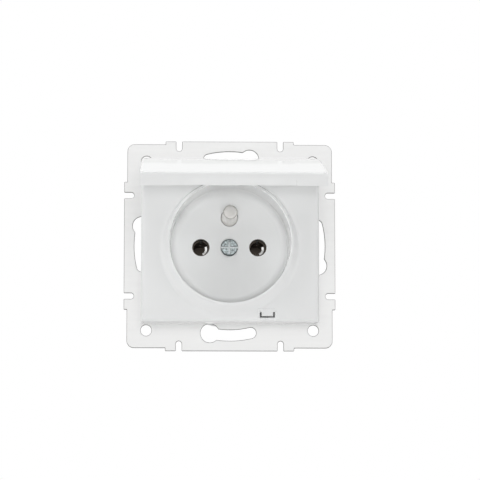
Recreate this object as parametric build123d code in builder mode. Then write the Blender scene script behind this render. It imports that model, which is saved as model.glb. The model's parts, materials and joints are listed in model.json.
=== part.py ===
from build123d import *
import os
from math import atan2, cos, degrees, radians, sin, sqrt

os.makedirs("parts", exist_ok=True)

# A flush socket insert with a hinged lid, drawn with its lid open.
# X runs to the right, Z up, and the front faces -Y. Depths count from the wall plane, which is the
# back of the mounting frame: positive towards the room, negative into the wall box.

# Fits
close_gap = 0.03          # round screws, rivets, inserts and pressed pins
running_gap = 0.06        # round a pin that turns in its bore
sliding_gap = 0.2         # round pieces that are laid into a pocket

# Mounting frame
frame_size = 70.0
frame_thickness = 1.0
frame_corner_setback = 1.0
frame_proud_length = 42.6
frame_corner_radius = 2.4
notch_inset = 4.5
notch_width = 1.95
notch_depth = 3.3
corner_hole_inset_x = 7.4
corner_hole_inset_z = 6.8
corner_hole_radius = 1.8
slot_inset = 5.2
slot_width = 3.6
slot_plain_angle = 13.5
slot_key_angle = 12.7
slot_key_radius = 3.1

# Plug interface
well_radius = 20.0
well_depth = 15.0
well_draft = 0.5
well_floor_fillet = 3.0
contact_spacing = 19.0
contact_hole_radius = 2.9
plug_pin_radius = 2.4
earth_pin_offset = 10.0
earth_pin_radius = 2.4
earth_pin_nose_radius = 1.9
earth_pin_length = 14.0
earth_shoulder_radius = 2.7

# Cover plate
plate_width = 58.5
plate_height = 52.0
plate_rise = 7.5
plate_wall = 1.6
plate_edge_radius = 1.1
plate_corner_radius = 0.6
plate_rib_thickness = 1.2
collar_height = 2.9
collar_rim_width = 0.7
collar_flank_run = 1.9
collar_foot_drop = 1.35
cup_wall = 1.6
cup_floor = 2.0
tongue_x = 12.2
tongue_z = -23.7
tongue_slot_width = 4.9
tongue_slot_height = 1.9
tongue_slot_line = 0.55
tongue_pocket_width = 6.1
tongue_pocket_height = 3.1
tongue_pocket_rise = 0.45
tongue_pocket_depth = 0.3

# Lid and its hinge
lid_open_angle = 76.0
lid_edge_height = 4.2
lid_wall = 1.35
lid_crown = 0.8
lid_edge_radius = 0.9
lid_plate_gap = 0.6
lid_heel_wall = 1.1
recess_width = 39.0
recess_depth = 1.2
recess_lip = 1.6
recess_corner_radius = 1.2
hinge_inset = 2.0
hinge_rise = 1.0
knuckle_radius = 1.9
knuckle_length = 4.2
knuckle_play = 0.2
ear_stem_width = 3.0
hinge_pin_radius = 0.8
hinge_start_x = 14.0
trough_depth = 2.2
seal_width = 3.4
seal_groove = 0.6
seal_rim_gap = 0.15

# Cover screw and insert
screw_head_radius = 2.8
screw_head_height = 1.8
screw_head_round = 0.6
screw_head_proud = 1.0
screw_radius = 1.5
screw_drive_width = 0.7
screw_drive_length = 4.0
screw_drive_depth = 0.9
insert_radius = 2.4
insert_length = 8.0

# Base, contact block, rear cover and rivets
base_flange_radius = 26.4
base_floor = 2.2
block_width = 44.0
block_height = 40.0
block_corner_radius = 4.0
block_depth = 16.0
rear_cover_thickness = 2.5
rear_cover_round = 0.6
rear_screw_radius = 1.2
rear_screw_head_radius = 2.2
rear_screw_drive_depth = 0.5
rear_screw_bite = 4.5
rear_screw_inset_x = 3.0
rear_screw_inset_z = 6.5
rear_screw_wall = 0.3     # left between a rear screw and the pocket for the cup
rivet_radius = 1.0
rivet_head_radius = 1.7
rivet_head_height = 0.8
rivet_head_round = 0.4
rivet_length = 5.0
rivet_spread = 9.6        # least angle from a rear screw to a rivet

# Contacts and terminals
sleeve_wall = 0.6
sleeve_play = 0.05
sleeve_slit = 0.7
sleeve_slit_length = 10.0
strip_thickness = 1.0
strip_width = 7.0
clamp_width = 8.0
clamp_height = 8.0
clamp_length = 9.0
clamp_inset = 8.0
clamp_chamfer = 0.8
wire_radius = 1.7
wire_way_radius = 2.9
wire_way_mouth_radius = 3.6
terminal_screw_radius = 1.5
terminal_head_radius = 2.5
terminal_head_height = 1.8
terminal_head_sink = 0.5
terminal_drive_depth = 0.9
earth_flange_radius = 3.5
earth_flange_height = 1.5
earth_tail_radius = 1.5

# Levels worked out from the sizes above
plate_face = frame_thickness + plate_rise
rim_level = plate_face + collar_height
floor_level = rim_level - well_depth
cup_back = floor_level - cup_floor
cup_radius = well_radius + cup_wall
pocket_radius = cup_radius + sliding_gap
pocket_back = cup_back - sliding_gap
chamber_front = pocket_back - base_floor
block_back = chamber_front - block_depth
contact_x = contact_spacing / 2
clamp_reach = block_height / 2 - clamp_inset
slot_circle_radius = frame_size / 2 - slot_inset
sleeve_bore = plug_pin_radius + sleeve_play
sleeve_radius = sleeve_bore + sleeve_wall
collar_foot_radius = well_radius + collar_rim_width + collar_flank_run
rear_screw_circle = pocket_radius + rear_screw_radius + rear_screw_wall
rear_screw_x = block_width / 2 - rear_screw_inset_x
rear_screw_z = max(block_height / 2 - rear_screw_inset_z,
                   sqrt(max(0, rear_screw_circle ** 2 - rear_screw_x ** 2)))
rivet_circle_radius = (pocket_radius + base_flange_radius) / 2
rivet_angle = max(45, degrees(atan2(rear_screw_z, rear_screw_x)) + rivet_spread)
rivet_places = [Rot(0, 0, angle) * Pos(rivet_circle_radius, 0)
                for angle in (rivet_angle, 180 - rivet_angle, 180 + rivet_angle, -rivet_angle)]

hinge_z = plate_height / 2 - hinge_inset
hinge_level = plate_face + hinge_rise
ear_pitch = knuckle_length + knuckle_play
ear_x = hinge_start_x + knuckle_length / 2 + ear_pitch
trough_level = plate_face - trough_depth
trough_bottom_z = hinge_z - knuckle_radius - sliding_gap
skirt_v = lid_plate_gap - hinge_rise
lid_top_v = skirt_v + lid_edge_height
lid_inner_v = lid_top_v - lid_wall
lid_free_u = plate_height - hinge_inset
seal_seat_v = lid_inner_v + seal_groove
seal_low_v = rim_level + seal_rim_gap - hinge_level
seal_outer_radius = well_radius + (collar_rim_width + seal_width) / 2


def front(depth):
    """Plane facing the room at a depth from the wall plane: local X is X, local Y is Z."""
    return Plane.XZ.offset(depth)


def back(depth):
    """Plane facing the wall box at a depth: local X is -X, local Y is Z."""
    return Plane(origin=(0, -depth, 0), x_dir=(-1, 0, 0), z_dir=(0, 1, 0))


def hinge_section(x):
    """Plane across the hinge axis at x: local X is Z, local Y points to the room."""
    return Plane(origin=(x, -hinge_level, hinge_z), x_dir=(0, 0, 1), z_dir=(1, 0, 0))


lid_out = Vector(0, -cos(radians(lid_open_angle)), sin(radians(lid_open_angle)))
lid_along = Vector(0, -sin(radians(lid_open_angle)), -cos(radians(lid_open_angle)))
lid_plane = Plane(origin=(0, -hinge_level, hinge_z), x_dir=(1, 0, 0), z_dir=lid_out)


def lid_section(x):
    """Plane across the lid at x: local X runs from the hinge to the free edge, local Y outwards."""
    return Plane(origin=(x, -hinge_level, hinge_z), x_dir=lid_along, z_dir=(-1, 0, 0))


def finish(builder, name):
    """Label a finished piece and write it."""
    builder.part.label = name
    export_step(builder.part, f"parts/{name}.step")


# Mounting frame: one stamped sheet, the middle of each side standing a step proud of the corners
slot_path = CenterArc((0, 0), slot_circle_radius, -slot_key_angle, slot_key_angle + slot_plain_angle)
corner_zone = frame_size - 2 * frame_corner_setback

with BuildPart() as mounting_frame:
    with BuildSketch(front(0)):
        RectangleRounded(corner_zone, corner_zone, frame_corner_radius)
        Rectangle(frame_size, frame_proud_length)
        Rectangle(frame_proud_length, frame_size)
        Circle(pocket_radius, mode=Mode.SUBTRACT)
        with PolarLocations(frame_size / 2, 4):
            with GridLocations(0, frame_proud_length - 2 * notch_inset, 1, 2):
                SlotOverall(2 * notch_depth, notch_width, mode=Mode.SUBTRACT)
        with GridLocations(frame_size - 2 * corner_hole_inset_x, frame_size - 2 * corner_hole_inset_z, 2, 2):
            Circle(corner_hole_radius, mode=Mode.SUBTRACT)
        with PolarLocations(0, 4):
            SlotArc(slot_path, slot_width, mode=Mode.SUBTRACT)
        with PolarLocations(slot_circle_radius, 4, start_angle=-slot_key_angle):
            Circle(slot_key_radius, mode=Mode.SUBTRACT)
        with Locations(*rivet_places):
            Circle(rivet_radius + close_gap, mode=Mode.SUBTRACT)
    extrude(amount=frame_thickness)
finish(mounting_frame, "mounting_frame")


# Cover plate: hollow plate, round collar and plug well moulded as one
rib_level = frame_thickness + rivet_head_height + sliding_gap
hollow_top_z = trough_bottom_z - plate_wall
hollow_bottom_z = -plate_height / 2 + plate_wall
hollow_height = hollow_top_z - hollow_bottom_z
hollow_middle_z = (hollow_top_z + hollow_bottom_z) / 2

with BuildPart() as cover_plate:
    with BuildSketch(front(frame_thickness)):
        RectangleRounded(plate_width, plate_height, plate_corner_radius)
    extrude(amount=plate_rise)
    fillet(cover_plate.faces().sort_by(Axis.Y)[0].edges(), plate_edge_radius)
    with BuildSketch(front(frame_thickness)):
        with Locations((0, hollow_middle_z)):
            Rectangle(plate_width - 2 * plate_wall, hollow_height)
    extrude(amount=plate_rise - plate_wall, mode=Mode.SUBTRACT)
    # stiffening ribs under the plate, clear of the rivet heads
    with BuildSketch(front(rib_level)):
        with Locations((0, hollow_middle_z)):
            with GridLocations(2 * rivet_circle_radius * cos(radians(rivet_angle)), 0, 2, 1):
                Rectangle(plate_rib_thickness, hollow_height)
    extrude(amount=plate_face - plate_wall - rib_level)
    # room for the rivet heads
    with BuildSketch(front(frame_thickness)):
        with Locations(*rivet_places):
            Circle(rivet_head_radius + sliding_gap)
    extrude(amount=rib_level - frame_thickness, mode=Mode.SUBTRACT)
    # cup behind the plate, and the collar in front of it, whose foot is wider and sits lower than its rim
    with BuildSketch(front(cup_back)):
        Circle(cup_radius)
    extrude(amount=plate_face - cup_back)
    with BuildSketch(front(plate_face)):
        with Locations((0, -collar_foot_drop)):
            Circle(collar_foot_radius)
    with BuildSketch(front(rim_level)):
        Circle(well_radius + collar_rim_width)
    loft()
    # plug well
    with BuildSketch(Plane.XY):
        with BuildLine():
            FilletPolyline((well_radius, -rim_level), (well_radius - well_draft, -floor_level),
                           (0, -floor_level), radius=well_floor_fillet)
            Polyline((0, -floor_level), (0, -rim_level), (well_radius, -rim_level))
        make_face()
    revolve(axis=Axis.Y, mode=Mode.SUBTRACT)
    # contact holes, earth pin hole and screw hole in the well floor
    with Locations(front(floor_level)):
        with GridLocations(contact_spacing, 0, 2, 1):
            Hole(contact_hole_radius, cup_floor)
        with Locations((0, earth_pin_offset)):
            Hole(earth_shoulder_radius + sliding_gap, cup_floor)
        CounterBoreHole(screw_radius + sliding_gap, screw_head_radius + sliding_gap,
                        screw_head_height - screw_head_proud, cup_floor)
    # trough for the heel of the lid
    with BuildSketch(front(trough_level)):
        with Locations((0, trough_bottom_z)):
            Rectangle(2 * plate_width, plate_height, align=(Align.CENTER, Align.MIN))
    extrude(amount=well_depth, mode=Mode.SUBTRACT)
    # hinge ears
    for side in (-1, 1):
        with BuildSketch(hinge_section(side * ear_x)):
            Circle(knuckle_radius)
            Rectangle(ear_stem_width, hinge_level - trough_level + plate_wall / 2,
                      align=(Align.CENTER, Align.MAX))
            Circle(hinge_pin_radius + running_gap, mode=Mode.SUBTRACT)
        extrude(amount=knuckle_length / 2, both=True)
    # moulded tongue: a shallow pocket that reaches up to the collar, and a U-shaped slot in it
    with BuildSketch(front(plate_face - tongue_pocket_depth)):
        with Locations((tongue_x, tongue_z + tongue_pocket_rise)):
            Rectangle(tongue_pocket_width, tongue_pocket_height)
    extrude(amount=collar_height, mode=Mode.SUBTRACT)
    with BuildSketch(front(plate_face - plate_wall)):
        with Locations((tongue_x, tongue_z)):
            Rectangle(tongue_slot_width, tongue_slot_height)
        with Locations((tongue_x, tongue_z + tongue_slot_line)):
            Rectangle(tongue_slot_width - 2 * tongue_slot_line, tongue_slot_height, mode=Mode.SUBTRACT)
    extrude(amount=plate_wall + collar_height, mode=Mode.SUBTRACT)
finish(cover_plate, "cover_plate")


# Lid: crowned shell with a skirt, a finger recess in its free edge and four hinge knuckles
lid_middle_u = (lid_free_u - hinge_inset) / 2
lid_edge_plane = Plane(
    origin=lid_plane.origin + lid_along * lid_free_u, x_dir=(1, 0, 0), z_dir=lid_along
)
recess_top_v = lid_top_v - recess_lip

with BuildPart() as lid:
    with BuildSketch(lid_section(0)):
        with BuildLine():
            Polyline((lid_free_u, lid_top_v), (lid_free_u, skirt_v), (-hinge_inset, skirt_v),
                     (-hinge_inset, lid_top_v))
            ThreePointArc((-hinge_inset, lid_top_v), (lid_middle_u, lid_top_v + lid_crown),
                          (lid_free_u, lid_top_v))
        make_face()
    extrude(amount=plate_width / 2, both=True)
    fillet(lid.faces().sort_by(Axis((0, 0, 0), lid_out))[-1].edges(), lid_edge_radius)
    # hollow under the lid
    with BuildSketch(lid_plane.offset(skirt_v)):
        with Locations((0, lid_wall - lid_free_u)):
            Rectangle(plate_width - 2 * lid_wall, plate_height - lid_wall - lid_heel_wall,
                      align=(Align.CENTER, Align.MIN))
    extrude(amount=lid_inner_v - skirt_v, mode=Mode.SUBTRACT)
    # finger recess and the wall behind it, which leaves room for the foot of the collar
    with BuildSketch(lid_plane.offset(skirt_v)):
        with Locations((0, -lid_free_u)):
            Rectangle(recess_width + 2 * lid_wall, recess_depth + lid_wall,
                      align=(Align.CENTER, Align.MIN))
        with Locations((0, -hinge_z - collar_foot_drop)):
            Circle(collar_foot_radius + sliding_gap, mode=Mode.SUBTRACT)
    extrude(amount=lid_inner_v - skirt_v)
    with BuildSketch(lid_edge_plane):
        with Locations((0, recess_top_v)):
            RectangleRounded(recess_width, 2 * lid_edge_height, recess_corner_radius,
                             align=(Align.CENTER, Align.MAX))
    extrude(amount=-recess_depth, mode=Mode.SUBTRACT)
    # groove for the seal
    with BuildSketch(lid_plane.offset(lid_inner_v)):
        with Locations((0, -hinge_z)):
            Circle(seal_outer_radius + close_gap)
            Circle(seal_outer_radius - seal_width - close_gap, mode=Mode.SUBTRACT)
    extrude(amount=seal_groove, mode=Mode.SUBTRACT)
    # hinge knuckles on each side of an ear, and the gap for the ear between them
    for side in (-1, 1):
        ear_middle = side * ear_x
        with BuildSketch(lid_plane.offset(lid_inner_v)):
            with Locations((ear_middle, 0)):
                Rectangle(knuckle_length + 2 * knuckle_play, plate_wall + hinge_inset,
                          align=(Align.CENTER, Align.MIN))
        extrude(amount=-lid_edge_height, mode=Mode.SUBTRACT)
        for knuckle_middle in (ear_middle - ear_pitch, ear_middle + ear_pitch):
            with BuildSketch(lid_section(knuckle_middle)):
                Circle(knuckle_radius)
                Rectangle(2 * knuckle_radius, lid_inner_v, align=(Align.CENTER, Align.MIN))
                Circle(hinge_pin_radius + close_gap, mode=Mode.SUBTRACT)
            extrude(amount=knuckle_length / 2, both=True)
finish(lid, "lid")


# Lid seal: soft ring that closes on the rim of the collar
with BuildPart() as lid_seal:
    with BuildSketch(lid_plane.offset(seal_low_v)):
        with Locations((0, -hinge_z)):
            Circle(seal_outer_radius)
            Circle(seal_outer_radius - seal_width, mode=Mode.SUBTRACT)
    extrude(amount=seal_seat_v - seal_low_v)
finish(lid_seal, "lid_seal")


# Hinge pins
hinge_pin_length = 3 * knuckle_length + 2 * knuckle_play

for side, side_name in ((-1, "left"), (1, "right")):
    with BuildPart() as hinge_pin:
        with BuildSketch(hinge_section(side * (hinge_start_x + hinge_pin_length / 2))):
            Circle(hinge_pin_radius)
        extrude(amount=hinge_pin_length / 2, both=True)
    finish(hinge_pin, f"hinge_pin_{side_name}")


# Cover screw with a combined cross and slot drive, and its threaded insert
screw_top = floor_level + screw_head_proud
insert_back = pocket_back - insert_length

with BuildPart() as cover_screw:
    with BuildSketch(front(screw_top)):
        Circle(screw_head_radius)
    extrude(amount=-screw_head_height)
    fillet(cover_screw.faces().sort_by(Axis.Y)[0].edges(), screw_head_round)
    with BuildSketch(front(screw_top - screw_head_height)):
        Circle(screw_radius)
    extrude(amount=insert_back - screw_top + screw_head_height)
    with BuildSketch(front(screw_top - screw_drive_depth)):
        Rectangle(2 * screw_head_radius, screw_drive_width)
        Rectangle(screw_drive_width, screw_drive_length)
    extrude(amount=screw_drive_depth, mode=Mode.SUBTRACT)
finish(cover_screw, "cover_screw")

with BuildPart() as cover_screw_insert:
    with BuildSketch(front(insert_back)):
        Circle(insert_radius)
        Circle(screw_radius + close_gap, mode=Mode.SUBTRACT)
    extrude(amount=insert_length)
finish(cover_screw_insert, "cover_screw_insert")


# Rivets through the frame into the flange of the base
with BuildPart() as frame_rivets:
    with BuildSketch(front(frame_thickness)):
        with Locations(*rivet_places):
            Circle(rivet_head_radius)
    extrude(amount=rivet_head_height)
    fillet(frame_rivets.faces().sort_by(Axis.Y)[:4].edges(), rivet_head_round)
    with BuildSketch(front(frame_thickness)):
        with Locations(*rivet_places):
            Circle(rivet_radius)
    extrude(amount=-rivet_length)
finish(frame_rivets, "frame_rivets")


# Base body: round flange behind the frame with a pocket for the cup of the cover plate
chamber_width = clamp_width + 2 * sliding_gap
chamber_end = clamp_reach + clamp_height / 2 + sliding_gap
live_chamber_top = sleeve_radius + sliding_gap
earth_chamber_low = min(earth_pin_offset - earth_flange_radius,
                        clamp_reach - clamp_height / 2) - sliding_gap
clamp_back = block_back + strip_thickness
clamp_middle = clamp_back + clamp_length / 2
earth_clamp_front = chamber_front - earth_flange_height - strip_thickness
earth_clamp_middle = earth_clamp_front - clamp_length / 2

with BuildPart() as base_body:
    with BuildSketch(front(chamber_front)):
        Circle(base_flange_radius)
    extrude(amount=-chamber_front)
    with BuildSketch(front(pocket_back)):
        Circle(pocket_radius)
    extrude(amount=-pocket_back, mode=Mode.SUBTRACT)
    # ways through the base floor
    with Locations(front(pocket_back)):
        with GridLocations(contact_spacing, 0, 2, 1):
            Hole(contact_hole_radius, base_floor)
        with Locations((0, earth_pin_offset)):
            Hole(earth_shoulder_radius + close_gap, base_floor)
        Hole(insert_radius + close_gap, base_floor)
    # rivet holes from the front and screw holes from the back
    with Locations(front(0)):
        with Locations(*rivet_places):
            Hole(rivet_radius + close_gap, rivet_length - frame_thickness)
    with Locations(back(chamber_front)):
        with GridLocations(2 * rear_screw_x, 2 * rear_screw_z, 2, 2):
            Hole(rear_screw_radius + close_gap, rear_screw_bite)
finish(base_body, "base_body")


# Contact block: three chambers that run right through, and ways in for a screwdriver
with BuildPart() as contact_block:
    with BuildSketch(front(block_back)):
        RectangleRounded(block_width, block_height, block_corner_radius)
        with GridLocations(contact_spacing, 0, 2, 1):
            with Locations((0, live_chamber_top)):
                Rectangle(chamber_width, chamber_end + live_chamber_top,
                          align=(Align.CENTER, Align.MAX), mode=Mode.SUBTRACT)
        with Locations((0, earth_chamber_low)):
            Rectangle(chamber_width, chamber_end - earth_chamber_low,
                      align=(Align.CENTER, Align.MIN), mode=Mode.SUBTRACT)
        with GridLocations(2 * rear_screw_x, 2 * rear_screw_z, 2, 2):
            Circle(rear_screw_radius + close_gap, mode=Mode.SUBTRACT)
    extrude(amount=block_depth)
    with Locations(front(chamber_front)):
        Hole(insert_radius + close_gap, insert_length - base_floor)
    with BuildSketch(Plane.XY.offset(-block_height / 2)):
        with Locations((-contact_x, -clamp_middle), (contact_x, -clamp_middle)):
            Circle(terminal_head_radius + sliding_gap)
    extrude(amount=block_height / 2 - chamber_end, mode=Mode.SUBTRACT)
    with BuildSketch(Plane.XY.offset(block_height / 2)):
        with Locations((0, -earth_clamp_middle)):
            Circle(terminal_head_radius + sliding_gap)
    extrude(amount=chamber_end - block_height / 2, mode=Mode.SUBTRACT)
finish(contact_block, "contact_block")


# Rear cover with ways in for the wires, and its countersunk screws
rear_level = block_back - rear_cover_thickness
rear_head_height = rear_screw_head_radius - rear_screw_radius
rear_screw_length = rear_cover_thickness + block_depth + rear_screw_bite

with BuildPart() as rear_cover:
    with BuildSketch(front(block_back)):
        RectangleRounded(block_width, block_height, block_corner_radius)
    extrude(amount=-rear_cover_thickness)
    fillet(rear_cover.faces().sort_by(Axis.Y)[-1].edges(), rear_cover_round)
    with Locations(back(rear_level)):
        with Locations((-contact_x, -clamp_reach), (contact_x, -clamp_reach), (0, clamp_reach)):
            CounterSinkHole(wire_way_radius, wire_way_mouth_radius, rear_cover_thickness, 90)
        with GridLocations(2 * rear_screw_x, 2 * rear_screw_z, 2, 2):
            CounterSinkHole(rear_screw_radius + close_gap, rear_screw_head_radius + close_gap,
                            rear_cover_thickness, 90)
finish(rear_cover, "rear_cover")

with BuildPart() as rear_cover_screws:
    with BuildSketch(front(rear_level)):
        with GridLocations(2 * rear_screw_x, 2 * rear_screw_z, 2, 2):
            Circle(rear_screw_head_radius)
    extrude(amount=rear_head_height, taper=45)
    with BuildSketch(front(rear_level)):
        with GridLocations(2 * rear_screw_x, 2 * rear_screw_z, 2, 2):
            Circle(rear_screw_radius)
    extrude(amount=rear_screw_length)
    with BuildSketch(front(rear_level)):
        with GridLocations(2 * rear_screw_x, 2 * rear_screw_z, 2, 2):
            Rectangle(2 * rear_screw_head_radius, screw_drive_width)
    extrude(amount=rear_screw_drive_depth, mode=Mode.SUBTRACT)
finish(rear_cover_screws, "rear_cover_screws")


# Live contacts: slit spring sleeve behind each hole, on a strip that leads to its terminal
sleeve_length = chamber_front - block_back - strip_thickness
strip_end = clamp_reach + clamp_height / 2
screw_start_z = block_height / 2 - terminal_head_sink
screw_neck_z = screw_start_z - terminal_head_height

for side, wire_name in ((-1, "line"), (1, "neutral")):
    x = side * contact_x
    with BuildPart() as contact:
        with BuildSketch(front(block_back)):
            with Locations((x, sleeve_radius)):
                Rectangle(strip_width, sleeve_radius + strip_end, align=(Align.CENTER, Align.MAX))
            with Locations((x, -clamp_reach)):
                Circle(wire_radius + sliding_gap, mode=Mode.SUBTRACT)
        extrude(amount=strip_thickness)
        with BuildSketch(front(clamp_back)):
            with Locations((x, 0)):
                Circle(sleeve_radius)
                Circle(sleeve_bore, mode=Mode.SUBTRACT)
        extrude(amount=sleeve_length)
        with BuildSketch(front(chamber_front)):
            with Locations((x, 0)):
                Rectangle(sleeve_slit, 2 * strip_width)
        extrude(amount=-sleeve_slit_length, mode=Mode.SUBTRACT)
    finish(contact, f"{wire_name}_contact")


# Terminals: a block with a wire hole, and the screw that clamps the wire
terminals = (("line", -contact_x, -1, clamp_middle), ("neutral", contact_x, -1, clamp_middle),
             ("earth", 0, 1, earth_clamp_middle))

for wire_name, x, way, middle in terminals:
    with BuildPart() as terminal_clamp:
        with BuildSketch(front(middle)):
            with Locations((x, way * clamp_reach)):
                Rectangle(clamp_width, clamp_height)
                Circle(wire_radius, mode=Mode.SUBTRACT)
        extrude(amount=clamp_length / 2, both=True)
        with BuildSketch(Plane.XY.offset(way * clamp_reach)):
            with Locations((x, -middle)):
                Circle(terminal_screw_radius + close_gap)
        extrude(amount=way * clamp_height, mode=Mode.SUBTRACT)
        chamfer(terminal_clamp.edges().filter_by(Axis.Y).group_by(Axis.Z)[0 if way > 0 else -1],
                clamp_chamfer)
    finish(terminal_clamp, f"{wire_name}_terminal_clamp")

    with BuildPart() as terminal_screw:
        with BuildSketch(Plane.XY.offset(way * screw_start_z)):
            with Locations((x, -middle)):
                Circle(terminal_head_radius)
        extrude(amount=-way * terminal_head_height)
        with BuildSketch(Plane.XY.offset(way * screw_neck_z)):
            with Locations((x, -middle)):
                Circle(terminal_screw_radius)
        extrude(amount=-way * (screw_neck_z - clamp_reach - wire_radius))
        with BuildSketch(Plane.XY.offset(way * screw_start_z)):
            with Locations((x, -middle)):
                Rectangle(2 * terminal_head_radius, screw_drive_width)
        extrude(amount=-way * terminal_drive_depth, mode=Mode.SUBTRACT)
    finish(terminal_screw, f"{wire_name}_terminal_screw")


# Earth pin: round-nosed, with a shoulder through the two floors, a flange behind them and a tail
# through the strap
strap_front = chamber_front - earth_flange_height

with BuildPart() as earth_pin:
    with BuildSketch(front(floor_level)):
        with Locations((0, earth_pin_offset)):
            Circle(earth_pin_radius)
    extrude(amount=earth_pin_length)
    fillet(earth_pin.faces().sort_by(Axis.Y)[0].edges(), earth_pin_nose_radius)
    with BuildSketch(front(chamber_front)):
        with Locations((0, earth_pin_offset)):
            Circle(earth_shoulder_radius)
    extrude(amount=floor_level - chamber_front)
    with BuildSketch(front(chamber_front)):
        with Locations((0, earth_pin_offset)):
            Circle(earth_flange_radius)
    extrude(amount=-earth_flange_height)
    with BuildSketch(front(strap_front)):
        with Locations((0, earth_pin_offset)):
            Circle(earth_tail_radius)
    extrude(amount=-strip_thickness)
finish(earth_pin, "earth_pin")

with BuildPart() as earth_strap:
    with BuildSketch(front(earth_clamp_front)):
        with Locations((0, strip_end)):
            Rectangle(strip_width, strip_end - earth_pin_offset + earth_flange_radius,
                      align=(Align.CENTER, Align.MAX))
        with Locations((0, earth_pin_offset)):
            Circle(earth_tail_radius + close_gap, mode=Mode.SUBTRACT)
    extrude(amount=strip_thickness)
finish(earth_strap, "earth_strap")
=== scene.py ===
# %% [markdown]
# # A flush socket with its lid open
# The object is a socket insert for a wall box: a stamped steel mounting frame, a glossy white cover
# plate with a round plug well, and a hinged lid. The solids come from the imported model, so this lesson
# only dresses them: softer edges, finishes, light and a camera. The first cell loads the solids.

# %% Load the solids
import json
import math

import bmesh
import bpy
from mathutils import Matrix, Vector

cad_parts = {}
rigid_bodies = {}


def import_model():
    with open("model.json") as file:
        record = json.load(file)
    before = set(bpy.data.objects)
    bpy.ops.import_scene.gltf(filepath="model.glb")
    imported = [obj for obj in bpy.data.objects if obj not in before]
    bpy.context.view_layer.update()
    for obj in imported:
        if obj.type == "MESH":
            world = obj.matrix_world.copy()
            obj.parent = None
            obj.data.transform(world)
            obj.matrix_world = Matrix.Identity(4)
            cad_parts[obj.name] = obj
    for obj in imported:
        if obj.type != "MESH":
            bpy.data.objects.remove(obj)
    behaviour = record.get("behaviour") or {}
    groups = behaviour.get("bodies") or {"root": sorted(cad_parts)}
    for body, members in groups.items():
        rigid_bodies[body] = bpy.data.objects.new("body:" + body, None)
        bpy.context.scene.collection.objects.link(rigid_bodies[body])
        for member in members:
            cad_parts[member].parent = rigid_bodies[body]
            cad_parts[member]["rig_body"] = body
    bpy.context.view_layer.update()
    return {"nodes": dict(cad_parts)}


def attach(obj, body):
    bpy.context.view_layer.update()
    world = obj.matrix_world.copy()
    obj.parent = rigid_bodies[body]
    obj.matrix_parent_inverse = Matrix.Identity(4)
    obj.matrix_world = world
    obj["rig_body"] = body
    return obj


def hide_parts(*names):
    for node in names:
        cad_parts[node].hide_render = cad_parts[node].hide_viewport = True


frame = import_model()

nodes = frame["nodes"]
MM = 0.001

# %% [markdown]
# ## Small helpers for node trees
# Every finish below is a node tree, so two short helpers keep the cells readable: one adds a node and
# sets its plain values, the other makes a new material and hands back its Principled shader.

# %% Helpers for node trees
def add_node(tree, kind, **values):
    """Add a node, set its properties, and set input sockets that are given by name."""
    node = tree.nodes.new(kind)
    for key, value in values.items():
        if hasattr(node, key):
            setattr(node, key, value)
        else:
            node.inputs[key.replace("_", " ")].default_value = value
    return node


def new_material(name):
    """An empty material with a Principled shader."""
    material = bpy.data.materials.new(name)
    material.use_nodes = True
    shader = material.node_tree.nodes["Principled BSDF"]
    return material, material.node_tree, shader


# %% [markdown]
# ## One shared effect: a mottled finish
# No real surface has one flat colour. Moulded plastic flows and cools unevenly, plating has cloudy
# patches, and rolled sheet has faint streaks. All of these are slow noise on the colour and the gloss
# with a fine grain on top, so they share one node group. The stretch input turns patches into streaks.

# %% The mottled finish as a node group
def make_finish_group():
    """Slow noise on colour and roughness, and a fine grain as a height."""
    group = bpy.data.node_groups.new("mottled_finish", "ShaderNodeTree")
    sockets = [
        ("Color", "INPUT", "NodeSocketColor"),
        ("Color Spread", "INPUT", "NodeSocketFloat"),
        ("Patch Scale", "INPUT", "NodeSocketFloat"),
        ("Grain Scale", "INPUT", "NodeSocketFloat"),
        ("Stretch", "INPUT", "NodeSocketVector"),
        ("Roughness", "INPUT", "NodeSocketFloat"),
        ("Roughness Spread", "INPUT", "NodeSocketFloat"),
        ("Color", "OUTPUT", "NodeSocketColor"),
        ("Roughness", "OUTPUT", "NodeSocketFloat"),
        ("Height", "OUTPUT", "NodeSocketFloat"),
    ]
    for name, way, kind in sockets:
        group.interface.new_socket(name, in_out=way, socket_type=kind)
    link = group.links.new
    given = add_node(group, "NodeGroupInput")
    result = add_node(group, "NodeGroupOutput")
    place = add_node(group, "ShaderNodeTexCoord")
    stretch = add_node(group, "ShaderNodeMapping")
    link(place.outputs["Object"], stretch.inputs["Vector"])
    link(given.outputs["Stretch"], stretch.inputs["Scale"])
    patches = add_node(group, "ShaderNodeTexNoise", Detail=3.0)
    grain = add_node(group, "ShaderNodeTexNoise", Detail=2.0)
    for texture, scale in ((patches, "Patch Scale"), (grain, "Grain Scale")):
        link(stretch.outputs["Vector"], texture.inputs["Vector"])
        link(given.outputs[scale], texture.inputs["Scale"])
    lean = add_node(group, "ShaderNodeMapRange", From_Min=0.3, From_Max=0.7, To_Min=-1.0, To_Max=1.0)
    link(patches.outputs["Fac"], lean.inputs["Value"])
    shade = add_node(group, "ShaderNodeMath", operation="MULTIPLY_ADD")
    shade.inputs[2].default_value = 1.0
    link(lean.outputs["Result"], shade.inputs[0])
    link(given.outputs["Color Spread"], shade.inputs[1])
    tint = add_node(group, "ShaderNodeVectorMath", operation="SCALE")
    link(given.outputs["Color"], tint.inputs[0])
    link(shade.outputs["Value"], tint.inputs["Scale"])
    gloss = add_node(group, "ShaderNodeMath", operation="MULTIPLY_ADD")
    link(lean.outputs["Result"], gloss.inputs[0])
    link(given.outputs["Roughness Spread"], gloss.inputs[1])
    link(given.outputs["Roughness"], gloss.inputs[2])
    link(tint.outputs["Vector"], result.inputs["Color"])
    link(gloss.outputs["Value"], result.inputs["Roughness"])
    link(grain.outputs["Fac"], result.inputs["Height"])
    return group


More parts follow.
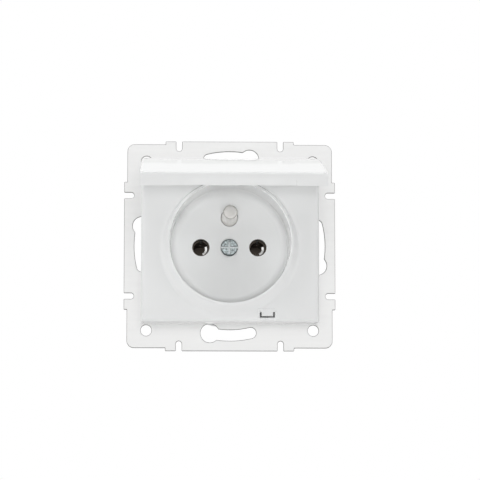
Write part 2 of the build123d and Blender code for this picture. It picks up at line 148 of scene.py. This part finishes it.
mottled_finish = make_finish_group()
print("shared group:", mottled_finish.name, "with", len(mottled_finish.nodes), "nodes")

# %% [markdown]
# ## A finish from a few values
# A finish is the shared group with its own values, plus the plain numbers that are the same all over
# the piece, such as how metallic it is. Those are set on the shader itself. Patches and grain are given
# in millimetres, because that is how one would measure them on the real surface.

# %% A finish from a few values
EVEN = (1.0, 1.0, 1.0)
IOR = 1.5


def make_finish(name, color, color_spread, roughness, roughness_spread,
                patch_mm, grain_mm, grain_depth_mm, stretch=EVEN, metallic=0.0):
    """A material whose colour, roughness and bump come from the mottled finish."""
    material, tree, shader = new_material(name)
    finish = add_node(tree, "ShaderNodeGroup", node_tree=mottled_finish)
    finish.inputs["Color"].default_value = (*color, 1.0)
    finish.inputs["Color Spread"].default_value = color_spread
    finish.inputs["Patch Scale"].default_value = 1.0 / (patch_mm * MM)
    finish.inputs["Grain Scale"].default_value = 1.0 / (grain_mm * MM)
    finish.inputs["Stretch"].default_value = stretch
    finish.inputs["Roughness"].default_value = roughness
    finish.inputs["Roughness Spread"].default_value = roughness_spread
    bump = add_node(tree, "ShaderNodeBump", Distance=grain_depth_mm * MM, Strength=1.0)
    tree.links.new(finish.outputs["Color"], shader.inputs["Base Color"])
    tree.links.new(finish.outputs["Roughness"], shader.inputs["Roughness"])
    tree.links.new(finish.outputs["Height"], bump.inputs["Height"])
    tree.links.new(bump.outputs["Normal"], shader.inputs["Normal"])
    shader.inputs["Metallic"].default_value = metallic
    shader.inputs["IOR"].default_value = IOR
    return material


# %% [markdown]
# ## Plastics and rubber
# The cover plate and the lid are a glossy, slightly cool white with hardly any grain. The base behind
# the wall is a plain satin grey, the seal a soft matte rubber. The walls of the two contact holes get
# a near black colour of their own: painted shade for the little light that gets into them.

# %% Plastics and rubber
white_plastic = make_finish(
    "gloss_white_plastic", (0.865, 0.872, 0.870), color_spread=0.008, roughness=0.07,
    roughness_spread=0.02, patch_mm=14, grain_mm=1.1, grain_depth_mm=0.002)
base_plastic = make_finish(
    "satin_grey_plastic", (0.62, 0.63, 0.63), color_spread=0.03, roughness=0.42,
    roughness_spread=0.06, patch_mm=9, grain_mm=0.5, grain_depth_mm=0.012)
seal_rubber = make_finish(
    "grey_seal_rubber", (0.60, 0.60, 0.59), color_spread=0.05, roughness=0.6,
    roughness_spread=0.08, patch_mm=4, grain_mm=0.3, grain_depth_mm=0.02)
# painted shade: near black colour for the shade inside the contact holes
hole_shade = make_finish(
    "painted_shade_hole_wall", (0.060, 0.052, 0.046), color_spread=0.2, roughness=0.7,
    roughness_spread=0.08, patch_mm=2, grain_mm=0.4, grain_depth_mm=0.01)
print("plastics and rubber done, finishes so far:", len(bpy.data.materials))

# %% [markdown]
# ## Sheet and screws
# The mounting frame is stamped from bright zinc plated sheet, with faint streaks along the rolling
# direction. Where the tool sheared it, the cut edge is rougher, and its near black colour is painted
# shade for the dark outline round the frame. The screws are blue zinc, and their plating is blotchy:
# a large colour spread with small patches gives that look. In the screw's drive, a pale colour is
# painted light on the floor, and a near black one is painted shade on the walls and round the head.

# %% Sheet and screws
SHEET_STREAKS = (0.25, 1.0, 2.5)
frame_plate = make_finish(
    "bright_zinc_sheet", (0.89, 0.89, 0.885), color_spread=0.03, roughness=0.34,
    roughness_spread=0.06, patch_mm=7, grain_mm=0.6, grain_depth_mm=0.004,
    stretch=SHEET_STREAKS, metallic=1.0)
# painted shade: near black colour for the dark outline along the sheet's cut edges
frame_edge_painted_shade = make_finish(
    "sheared_edge_painted_shade", (0.22, 0.22, 0.21), color_spread=0.10, roughness=0.40,
    roughness_spread=0.08, patch_mm=1.5, grain_mm=0.25, grain_depth_mm=0.02, metallic=1.0)
screw_zinc = make_finish(
    "blue_zinc_screw", (0.50, 0.56, 0.57), color_spread=0.75, roughness=0.36,
    roughness_spread=0.12, patch_mm=0.65, grain_mm=0.25, grain_depth_mm=0.04, metallic=1.0)
# painted light: a pale drive floor, paler than the head
drive_floor = make_finish(
    "painted_light_drive_floor", (0.80, 0.84, 0.85), color_spread=0.15, roughness=0.4,
    roughness_spread=0.1, patch_mm=0.6, grain_mm=0.2, grain_depth_mm=0.02, metallic=1.0)
# painted shade: near black drive walls and a dark line round the head
drive_edge = make_finish(
    "painted_shade_drive_edge", (0.20, 0.23, 0.23), color_spread=0.3, roughness=0.45,
    roughness_spread=0.1, patch_mm=0.5, grain_mm=0.2, grain_depth_mm=0.02, metallic=1.0)
print("sheet and screws done, finishes so far:", len(bpy.data.materials))

# %% [markdown]
# ## Pins and contacts
# The earth pin is nickel plated, with a darker ring round its nose that is painted shade where the
# rounding starts. The hinge pins are ground steel. The contacts get a near black colour, painted shade
# for the dark inside of the holes, while the springs in them are tinned and bright. The terminal
# clamps are sawn from brass bar.

# %% Pins and contacts
pin_nickel = make_finish(
    "nickel_pin", (0.94, 0.92, 0.89), color_spread=0.06, roughness=0.34,
    roughness_spread=0.05, patch_mm=2.5, grain_mm=0.3, grain_depth_mm=0.004, metallic=1.0)
# painted shade: darker ring on the nose's rounding
pin_ring = make_finish(
    "painted_shade_pin_ring", (0.67, 0.65, 0.62), color_spread=0.15, roughness=0.40,
    roughness_spread=0.05, patch_mm=1.5, grain_mm=0.3, grain_depth_mm=0.004, metallic=1.0)
pin_steel = make_finish(
    "ground_hinge_pin", (0.60, 0.60, 0.61), color_spread=0.05, roughness=0.30,
    roughness_spread=0.05, patch_mm=2, grain_mm=0.3, grain_depth_mm=0.004, metallic=1.0)
spring_metal = make_finish(
    "tinned_spring", (0.95, 0.94, 0.92), color_spread=0.03, roughness=0.22,
    roughness_spread=0.05, patch_mm=1.5, grain_mm=0.3, grain_depth_mm=0.002, metallic=1.0)
# painted shade: near black colour for the dark inside of the holes
contact_painted_shade = make_finish(
    "painted_shade_contact", (0.14, 0.12, 0.10), color_spread=0.15, roughness=0.34,
    roughness_spread=0.08, patch_mm=2, grain_mm=0.3, grain_depth_mm=0.006, metallic=1.0)
terminal_brass = make_finish(
    "sawn_brass", (0.74, 0.58, 0.30), color_spread=0.08, roughness=0.32,
    roughness_spread=0.06, patch_mm=2, grain_mm=0.3, grain_depth_mm=0.01, metallic=1.0)
print("pins and contacts done, finishes so far:", len(bpy.data.materials))

# %% [markdown]
# ## Dressed copies of the solids
# A solid from the model has knife edges, which no moulded or stamped piece has: light never catches
# them. The shape is right already, so modelling it again would only risk a mistake. A copy of the mesh
# is merged, its flat triangles are joined, and its sharp edges get a small bevel. Weighted normals then
# keep the flats flat. A piece that needs more can hand in a function that reshapes the copy first.

# %% A dressed copy of one solid
MERGE = 0.002 * MM
FLAT_ANGLE = math.radians(0.4)
SHARP_ANGLE = math.radians(32)
ROUND_PROFILE = 0.5


def dressed_copy(node, materials, edge_mm, segments=2, clamp=True, reshape=None):
    """Copy a solid, soften its sharp edges and stand for the solid on the same body."""
    mesh = nodes[node].data.copy()
    mesh.name = f"{node}_dressed"
    mesh.materials.clear()
    bm = bmesh.new()
    bm.from_mesh(mesh)
    bmesh.ops.remove_doubles(bm, verts=bm.verts, dist=MERGE)
    bmesh.ops.dissolve_limit(bm, angle_limit=FLAT_ANGLE, verts=bm.verts, edges=bm.edges)
    if reshape:
        reshape(bm)
    sharp = [e for e in bm.edges if e.is_manifold and e.calc_face_angle() > SHARP_ANGLE]
    bmesh.ops.bevel(bm, geom=sharp, offset=edge_mm * MM, offset_type="OFFSET", segments=segments,
                    profile=ROUND_PROFILE, affect="EDGES", clamp_overlap=clamp, material=-1)
    for face in bm.faces:
        face.smooth = True
        face.material_index = 0
    bm.to_mesh(mesh)
    bm.free()
    if "custom_normal" in mesh.attributes:
        mesh.attributes.remove(mesh.attributes["custom_normal"])
    for material in materials:
        mesh.materials.append(material)
    piece = bpy.data.objects.new(f"{node}_dressed", mesh)
    bpy.context.scene.collection.objects.link(piece)
    weigh = piece.modifiers.new("flat faces stay flat", "WEIGHTED_NORMAL")
    weigh.keep_sharp = True
    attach(piece, nodes[node]["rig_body"])
    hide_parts(node)
    print(node, "faces", len(mesh.polygons), "softened edges", len(sharp))
    return piece


# %% [markdown]
# ## The mounting frame
# The frame is flat sheet with notches, corner holes and keyhole slots. Against a white wall one sees it
# mostly by its thin dark outline, which is painted shade: every face that does not look to the front
# or the back gets the near black edge colour, so the direction of a face chooses its finish.

# %% The mounting frame
EDGE_FACING = 0.8
frame_piece = dressed_copy("mounting_frame", [frame_plate, frame_edge_painted_shade], 0.25, segments=3, clamp=False)
# painted shade: faces that look sideways get the dark edge colour
for face in frame_piece.data.polygons:
    if abs(face.normal.y) < EDGE_FACING:
        face.material_index = 1

# %% [markdown]
# ## The cover plate and the lid
# Plate and lid are mouldings of the same white plastic. The collar round the plug well has a softer
# outer edge and a softer foot than the rest of the plate. A modifier would round all edges alike, so
# the edges on these two circles are found by their level and radius and bevelled on their own.

# %% The cover plate and the lid
PLATE_FACE = -8.5 * MM
RIM_FACE = -11.4 * MM
COLLAR_EDGES = (
    (RIM_FACE, 0.0, 20.7 * MM, 0.5 * MM),
    (PLATE_FACE, -1.35 * MM, 22.6 * MM, 0.7 * MM),
)
COLLAR_SEGMENTS = 5
ON_CIRCLE = 0.1 * MM


def on_circle(vert, level, centre_z, radius):
    """Tell whether a point lies on a circle that faces the front."""
    reach = math.hypot(vert.co.x, vert.co.z - centre_z)
    return abs(vert.co.y - level) < ON_CIRCLE and abs(reach - radius) < ON_CIRCLE


def round_collar(bm):
    """Round the outer edge of the collar's rim, and the corner at its foot."""
    for level, centre_z, radius, offset in COLLAR_EDGES:
        edges = [e for e in bm.edges if all(on_circle(v, level, centre_z, radius) for v in e.verts)]
        bmesh.ops.bevel(bm, geom=edges, offset=offset, offset_type="OFFSET", segments=COLLAR_SEGMENTS,
                        profile=ROUND_PROFILE, affect="EDGES", clamp_overlap=False, material=-1)
        print("collar edges rounded:", len(edges))


cover_piece = dressed_copy("cover_plate", [white_plastic], 0.15, reshape=round_collar)
lid_piece = dressed_copy("lid", [white_plastic], 0.15)

# %% [markdown]
# ## The cover screw
# One screw in the middle of the well holds the plate. Its drive is a cross with a slot. The drive's
# floor is painted light, paler than the head, and its walls are painted shade, near black, as is a dark
# line round the head. The drive is in the solid already, so the place and the direction of each face
# tell which finish it gets.

# %% The cover screw
DRIVE_TOP = 2.61 * MM
DRIVE_FLOOR = 3.6 * MM
DRIVE_HALF_WIDTH = 0.5 * MM
DRIVE_FLOOR_FACING = -0.95
HEAD_SIDE = -0.75
screw_piece = dressed_copy("cover_screw", [screw_zinc, drive_floor, drive_edge], 0.12)
# painted light on the drive floor, painted shade on the drive walls and round the head
for face in screw_piece.data.polygons:
    deep = DRIVE_TOP < face.center.y < DRIVE_FLOOR
    if deep and min(abs(face.center.x), abs(face.center.z)) < DRIVE_HALF_WIDTH:
        face.material_index = 1 if face.normal.y < DRIVE_FLOOR_FACING else 2
    elif face.normal.y > HEAD_SIDE:
        face.material_index = 2

# %% [markdown]
# ## The contacts and the base around them
# Behind each hole of the well sits a contact sleeve in the grey base. Little light gets in there, and
# the holes look nearly black. That is painted shade: the sleeves and the base's faces near the two hole
# axes get a near black colour.

# %% The contacts and the base around them
CONTACT_X = 9.5 * MM
HOLE_REACH = 3.2 * MM
# the contact sleeves get the painted shade colour
for node in ("line_contact", "neutral_contact"):
    dressed_copy(node, [contact_painted_shade], 0.2)

base_piece = dressed_copy("base_body", [base_plastic, hole_shade], 0.25)
# painted shade on the base's faces round the two hole axes
for face in base_piece.data.polygons:
    if math.hypot(abs(face.center.x) - CONTACT_X, face.center.z) < HOLE_REACH:
        face.material_index = 1

# %% [markdown]
# ## The springs in the contacts
# In each hole of the photograph a bright crescent shows on the right: a polished spring that presses on
# the plug's pin. It is a slanted strip bent round the axis of the hole, so a short edge is spun about
# that axis and the strip is given a thickness.

# %% The springs
SPRING_EDGE = ((2.2 * MM, 8.5 * MM), (1.5 * MM, 8.65 * MM))
SPRING_START = math.radians(-25)
SPRING_TURN = math.radians(95)
SPRING_STEPS = 12
SPRING_THICKNESS = 0.2 * MM
for name, hole_x in (("line_spring", -CONTACT_X), ("neutral_spring", CONTACT_X)):
    bm = bmesh.new()
    ends = [bm.verts.new((hole_x + reach, depth, 0.0)) for reach, depth in SPRING_EDGE]
    edge = bm.edges.new(ends)
    centre = Vector((hole_x, 0.0, 0.0))
    bmesh.ops.rotate(bm, verts=ends, cent=centre, matrix=Matrix.Rotation(SPRING_START, 3, "Y"))
    bmesh.ops.spin(bm, geom=[*ends, edge], cent=centre, axis=(0, 1, 0), angle=SPRING_TURN,
                   steps=SPRING_STEPS)
    bmesh.ops.recalc_face_normals(bm, faces=bm.faces)
    bmesh.ops.solidify(bm, geom=bm.faces[:], thickness=SPRING_THICKNESS)
    bmesh.ops.recalc_face_normals(bm, faces=bm.faces)
    for face in bm.faces:
        face.smooth = False
    spring_mesh = bpy.data.meshes.new(name)
    bm.to_mesh(spring_mesh)
    bm.free()
    spring_mesh.materials.append(spring_metal)
    spring = bpy.data.objects.new(name, spring_mesh)
    bpy.context.scene.collection.objects.link(spring)
    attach(spring, nodes["line_contact"]["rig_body"])
    print(name, "faces", len(spring_mesh.polygons))

# %% [markdown]
# ## The earth pin
# The pin is turned from bar. In the photograph its nose is a nearly flat disc with a small rounding,
# and a darker ring shows where the rounding starts; that ring is painted shade on the rounding's faces.
# The points of the solid's rounder nose keep their turn about the rounding's centre and move to the new
# one, so no new shape has to be joined to the shank.

# %% The earth pin
PIN_Z = 10.0 * MM
SOLID_NOSE = (0.5 * MM, -8.5 * MM, 1.9 * MM)
WORN_NOSE = (1.6 * MM, -9.6 * MM, 0.8 * MM)
PIN_SHADE_FACING = (-0.85, -0.3)


def widen_nose(bm):
    """Turn the round nose into a flatter one; a nose is its flat's radius, level and rounding."""
    flat, level, rounding = SOLID_NOSE
    new_flat, new_level, new_rounding = WORN_NOSE
    for vert in bm.verts:
        reach = math.hypot(vert.co.x, vert.co.z - PIN_Z)
        if vert.co.y > level or reach == 0.0:
            continue
        turn = math.atan2(max(reach - flat, 0.0), level - vert.co.y)
        new_reach = new_flat * min(reach / flat, 1.0) + new_rounding * math.sin(turn)
        vert.co.x *= new_reach / reach
        vert.co.z = PIN_Z + (vert.co.z - PIN_Z) * new_reach / reach
        vert.co.y = new_level - new_rounding * math.cos(turn)


pin_piece = dressed_copy("earth_pin", [pin_nickel, pin_ring], 0.08, reshape=widen_nose)
# painted shade on the faces of the nose's rounding
for face in pin_piece.data.polygons:
    if PIN_SHADE_FACING[0] < face.normal.y < PIN_SHADE_FACING[1]:
        face.material_index = 1

# %% [markdown]
# ## Block, rear cover, screws and seal
# The back of the socket and the ring in the lid show from other sides. They need nothing but a finish
# and soft edges, so one loop dresses them all.

# %% Block, rear cover, screws and seal
for node, finish, slot_name, edge_mm in (
    ("contact_block", base_plastic, "grey_plastic", 0.2),
    ("rear_cover", base_plastic, "grey_plastic", 0.2),
    ("rear_cover_screws", screw_zinc, "zinc_steel", 0.08),
    ("line_terminal_screw", screw_zinc, "zinc_steel", 0.1),
    ("neutral_terminal_screw", screw_zinc, "zinc_steel", 0.1),
    ("earth_terminal_screw", screw_zinc, "zinc_steel", 0.1),
    ("lid_seal", seal_rubber, "seal_rubber", 0.2),
):
    dressed_copy(node, [finish], edge_mm)

# %% [markdown]
# ## Solids that need only a finish
# The pieces inside the base can hardly be seen, so they keep their own meshes and get a finish.

# %% Finishes for the inner solids
inner_finishes = {
    "hinge_pin_left": pin_steel,
    "hinge_pin_right": pin_steel,
    "frame_rivets": screw_zinc,
    "cover_screw_insert": terminal_brass,
    # the earth strap shares the contacts' painted shade colour
    "earth_strap": contact_painted_shade,
    "line_terminal_clamp": terminal_brass,
    "neutral_terminal_clamp": terminal_brass,
    "earth_terminal_clamp": terminal_brass,
}
for node, finish in inner_finishes.items():
    mesh = nodes[node].data
    mesh.materials.clear()
    mesh.materials.append(finish)
print("inner solids:", len(inner_finishes))

# %% [markdown]
# ## The floor
# The photograph has no floor, only white. Seen from above, though, the socket needs something pale that
# takes its shadow. A plain sheet far below does that: the camera of the photograph looks up a little,
# so it never sees the floor, and the floor sends a soft light up at the object.

# %% The floor
FLOOR_LEVEL = -1.1
FLOOR_SIZE = 3.0
floor_material = make_finish(
    "pale_floor", (0.86, 0.86, 0.86), color_spread=0.01, roughness=0.7,
    roughness_spread=0.05, patch_mm=60, grain_mm=5, grain_depth_mm=0.0)
bm = bmesh.new()
bmesh.ops.create_grid(bm, x_segments=1, y_segments=1, size=FLOOR_SIZE)
bmesh.ops.translate(bm, verts=bm.verts, vec=(0, 0, FLOOR_LEVEL))
floor_mesh = bpy.data.meshes.new("floor")
bm.to_mesh(floor_mesh)
bm.free()
floor_mesh.materials.append(floor_material)
floor = bpy.data.objects.new("floor", floor_mesh)
bpy.context.scene.collection.objects.link(floor)
print("floor at", FLOOR_LEVEL, "m, half width", FLOOR_SIZE, "m")

# %% [markdown]
# ## What metal reflects
# Bright metal shows its surroundings more than its own colour. An all white world would leave it without
# any shape, so reflections see a white room that is darker at both sides and above. The level falls
# where a direction points sideways and not far down.

# %% The level that reflections see
SIDE_LEVEL = 0.15
WHITE = (1.0, 1.0, 1.0, 1.0)
world = bpy.data.worlds.new("soft_white_studio")
bpy.context.scene.world = world
world.use_nodes = True
tree = world.node_tree
tree.nodes.clear()
link = tree.links.new
direction = add_node(tree, "ShaderNodeTexCoord")
split = add_node(tree, "ShaderNodeSeparateXYZ")
link(direction.outputs["Generated"], split.inputs["Vector"])
depth = add_node(tree, "ShaderNodeMath", operation="ABSOLUTE")
link(split.outputs["Y"], depth.inputs[0])
beside = add_node(tree, "ShaderNodeMapRange", From_Min=0.2, From_Max=0.45, To_Min=1.0, To_Max=0.0)
link(depth.outputs["Value"], beside.inputs["Value"])
above = add_node(tree, "ShaderNodeMapRange", From_Min=-0.35, From_Max=0.1, To_Min=0.0, To_Max=1.0)
link(split.outputs["Z"], above.inputs["Value"])
dark_side = add_node(tree, "ShaderNodeMath", operation="MULTIPLY")
link(beside.outputs["Result"], dark_side.inputs[0])
link(above.outputs["Result"], dark_side.inputs[1])
seen_level = add_node(tree, "ShaderNodeMapRange", From_Min=0.0, From_Max=1.0, To_Min=1.0,
                      To_Max=SIDE_LEVEL)
link(dark_side.outputs["Value"], seen_level.inputs["Value"])
seen = add_node(tree, "ShaderNodeBackground", Color=WHITE)
link(seen_level.outputs["Result"], seen.inputs["Strength"])
print("reflections see levels from", SIDE_LEVEL, "to 1.0")

# %% [markdown]
# ## What else sees the world
# The background has to be plain white, while the lamps do the lighting. The Light Path node tells the
# kinds of ray apart: rays from the camera see white, reflections see the room above, and all others see
# a very dim dome that keeps the deepest corners from going black.

# %% What each kind of ray sees
DOME_LEVEL = 0.03
dome = add_node(tree, "ShaderNodeBackground", Color=WHITE, Strength=DOME_LEVEL)
backdrop = add_node(tree, "ShaderNodeBackground", Color=WHITE, Strength=1.0)
path = add_node(tree, "ShaderNodeLightPath")
in_metal = add_node(tree, "ShaderNodeMixShader")
link(path.outputs["Is Glossy Ray"], in_metal.inputs["Fac"])
link(dome.outputs["Background"], in_metal.inputs[1])
link(seen.outputs["Background"], in_metal.inputs[2])
to_camera = add_node(tree, "ShaderNodeMixShader")
link(path.outputs["Is Camera Ray"], to_camera.inputs["Fac"])
link(in_metal.outputs["Shader"], to_camera.inputs[1])
link(backdrop.outputs["Background"], to_camera.inputs[2])
out = add_node(tree, "ShaderNodeOutputWorld")
link(to_camera.outputs["Shader"], out.inputs["Surface"])
print("world nodes:", len(tree.nodes))

# %% [markdown]
# ## The soft lamps
# The light in the photograph is very soft and comes from nearly everywhere, a little more from above and
# from the left. Five square lamps stand round the object, each with its place, size and power. They are
# hidden from reflections, because a square patch on the metal would give them away.

# %% The soft lamps
LAMPS = {
    "front_lamp": ((-0.02, -1.10, -0.15), 0.2, 4.6),
    "high_lamp": ((0.00, -1.00, 0.35), 0.4, 0.5),
    "left_lamp": ((-1.00, -0.30, 0.20), 0.4, 4.0),
    "right_lamp": ((1.00, -0.40, 0.10), 0.5, 3.0),
    "top_lamp": ((-0.10, 0.05, 1.00), 0.8, 10.0),
}
AT_OBJECT = (0.0, 0.0, 0.0)


def soft_lamp(name, place, size, power, aim=AT_OBJECT):
    """A square lamp that looks at a point."""
    data = bpy.data.lights.new(name, "AREA")
    data.shape = "SQUARE"
    data.size = size
    data.energy = power
    lamp = bpy.data.objects.new(name, data)
    lamp.location = place
    lamp.visible_glossy = False
    lamp.rotation_euler = (Vector(aim) - Vector(place)).to_track_quat("-Z", "Y").to_euler()
    bpy.context.scene.collection.objects.link(lamp)
    return lamp


for name, (place, size, power) in LAMPS.items():
    soft_lamp(name, place, size, power)
print("lamps round the object:", len(LAMPS))

# %% [markdown]
# ## A lamp for the floor
# The other lamps look at the object and leave the floor dark further out. A very wide lamp close above
# the floor looks straight down, so it lights the floor evenly and reaches the object only from there.

# %% The floor's lamp
FLOOR_LAMP_PLACE = (0.0, 0.0, -0.75)
FLOOR_LAMP_AIM = (0.0, 0.0, FLOOR_LEVEL)
FLOOR_LAMP_SIZE = 8.0
FLOOR_LAMP_POWER = 94.0
floor_lamp = soft_lamp("floor_lamp", FLOOR_LAMP_PLACE, FLOOR_LAMP_SIZE, FLOOR_LAMP_POWER,
                       aim=FLOOR_LAMP_AIM)
print("floor lamp turned by", [round(angle, 3) for angle in floor_lamp.rotation_euler])

# %% [markdown]
# ## The camera
# The earth pin's tip stands above its foot in the picture, so the camera looks up a little from below,
# and slightly from the left. A long lens keeps the sides of the well nearly parallel.

# %% The camera
CAMERA_PLACE = Vector((-0.020, -0.850, -0.109))
CAMERA_AIM = Vector((0.00345, 0.0, 0.0021))
camera_data = bpy.data.cameras.new("camera")
camera_data.sensor_width = 36.0
camera_data.lens = 193.7
camera_data.clip_start = 0.01
camera_data.clip_end = 20.0
camera = bpy.data.objects.new("camera", camera_data)
camera.location = CAMERA_PLACE
camera.rotation_euler = (CAMERA_AIM - CAMERA_PLACE).to_track_quat("-Z", "Y").to_euler()
bpy.context.scene.collection.objects.link(camera)
bpy.context.scene.camera = camera
bpy.context.scene.view_settings.view_transform = "Standard"
print("camera", round((CAMERA_AIM - CAMERA_PLACE).length, 3), "m away, lens mm:", camera_data.lens)
